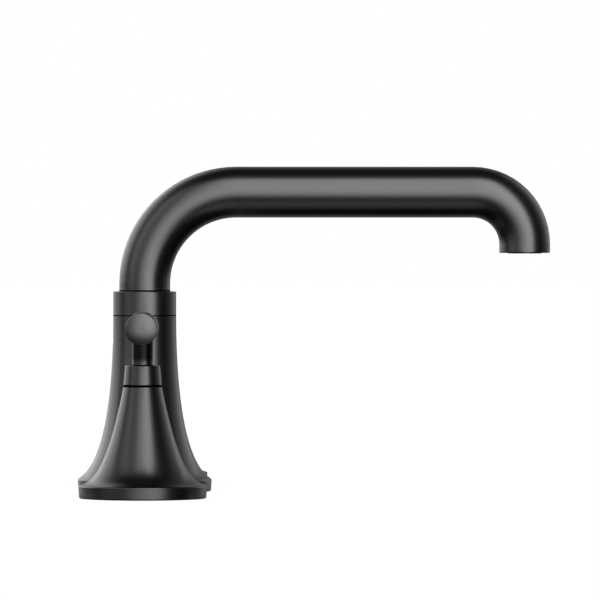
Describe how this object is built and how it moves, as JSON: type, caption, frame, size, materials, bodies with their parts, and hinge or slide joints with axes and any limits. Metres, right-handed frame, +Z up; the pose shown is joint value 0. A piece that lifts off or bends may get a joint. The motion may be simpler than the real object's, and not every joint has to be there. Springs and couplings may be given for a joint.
{
  "type": "deck-mounted bath faucet",
  "caption": "Deck-mounted bath faucet: a bent tube spout that swivels on a trumpet base, between hot and cold lever handles on smaller trumpet bases.",
  "frame": {"origin": "middle of the spout base's underside, on the deck's top face", "axes": "+X the way the spout reaches, +Y from the hot handle to the cold handle, +Z up from the deck"},
  "size_m": [0.2654, 0.3432, 0.2662],
  "materials": {
    "black_metal": "satin",
    "brass": "machined",
    "steel": "brushed",
    "rubber": "matte",
    "plastic": "matte",
    "dark_plastic": "matte",
    "ceramic": "lapped"
  },
  "bodies": {
    "deck_set": {"spout_base": "black_metal", "spout_base_gasket": "rubber", "spout_post": "brass", "swivel_stop_screw": "steel", "spout_rubber_washer": "rubber", "spout_clamp_washer": "steel", "spout_lock_nut": "brass", "spout_glide_washer": "dark_plastic", "hot_handle_base": "black_metal", "hot_handle_base_gasket": "rubber", "hot_valve_body": "brass", "hot_deck_washer": "steel", "hot_deck_nut": "brass", "hot_valve_rubber_washer": "rubber", "hot_valve_clamp_washer": "steel", "hot_valve_lock_nut": "brass", "hot_cartridge_housing": "plastic", "hot_bonnet_nut": "brass", "hot_fixed_disc": "ceramic", "hot_seat_seal": "rubber", "hot_glide_ring": "dark_plastic", "cold_handle_base": "black_metal", "cold_handle_base_gasket": "rubber", "cold_valve_body": "brass", "cold_deck_washer": "steel", "cold_deck_nut": "brass", "cold_valve_rubber_washer": "rubber", "cold_valve_clamp_washer": "steel", "cold_valve_lock_nut": "brass", "cold_cartridge_housing": "plastic", "cold_bonnet_nut": "brass", "cold_fixed_disc": "ceramic", "cold_seat_seal": "rubber", "cold_glide_ring": "dark_plastic"},
    "spout": {"spout_tube": "black_metal", "spout_collar": "black_metal", "spout_spigot": "brass", "spigot_seals": "rubber", "outlet_bushing": "brass", "aerator_shell": "black_metal", "aerator_insert": "plastic", "aerator_seal": "rubber"},
    "hot_lever": {"hot_lever_hub": "black_metal", "hot_lever_arm": "black_metal", "hot_hub_set_screw": "steel", "hot_cartridge_stem": "brass", "hot_moving_disc": "ceramic", "hot_stem_seal": "rubber"},
    "cold_lever": {"cold_lever_hub": "black_metal", "cold_lever_arm": "black_metal", "cold_hub_set_screw": "steel", "cold_cartridge_stem": "brass", "cold_moving_disc": "ceramic", "cold_stem_seal": "rubber"}
  },
  "joints": [
    {"name": "spout_swivel", "type": "hinge", "parent": "deck_set", "child": "spout", "pos_m": [0, 0, 0.0985], "axis": [0, 0, 1], "range_deg": [-60, 60]},
    {"name": "hot_lever_turn", "type": "hinge", "parent": "deck_set", "child": "hot_lever", "pos_m": [0, -0.1016, 0.06095], "axis": [0, 0, 1], "range_deg": [0, 90]},
    {"name": "cold_lever_turn", "type": "hinge", "parent": "deck_set", "child": "cold_lever", "pos_m": [0, 0.1016, 0.06095], "axis": [0, 0, 1], "range_deg": [-90, 0]}
  ]
}
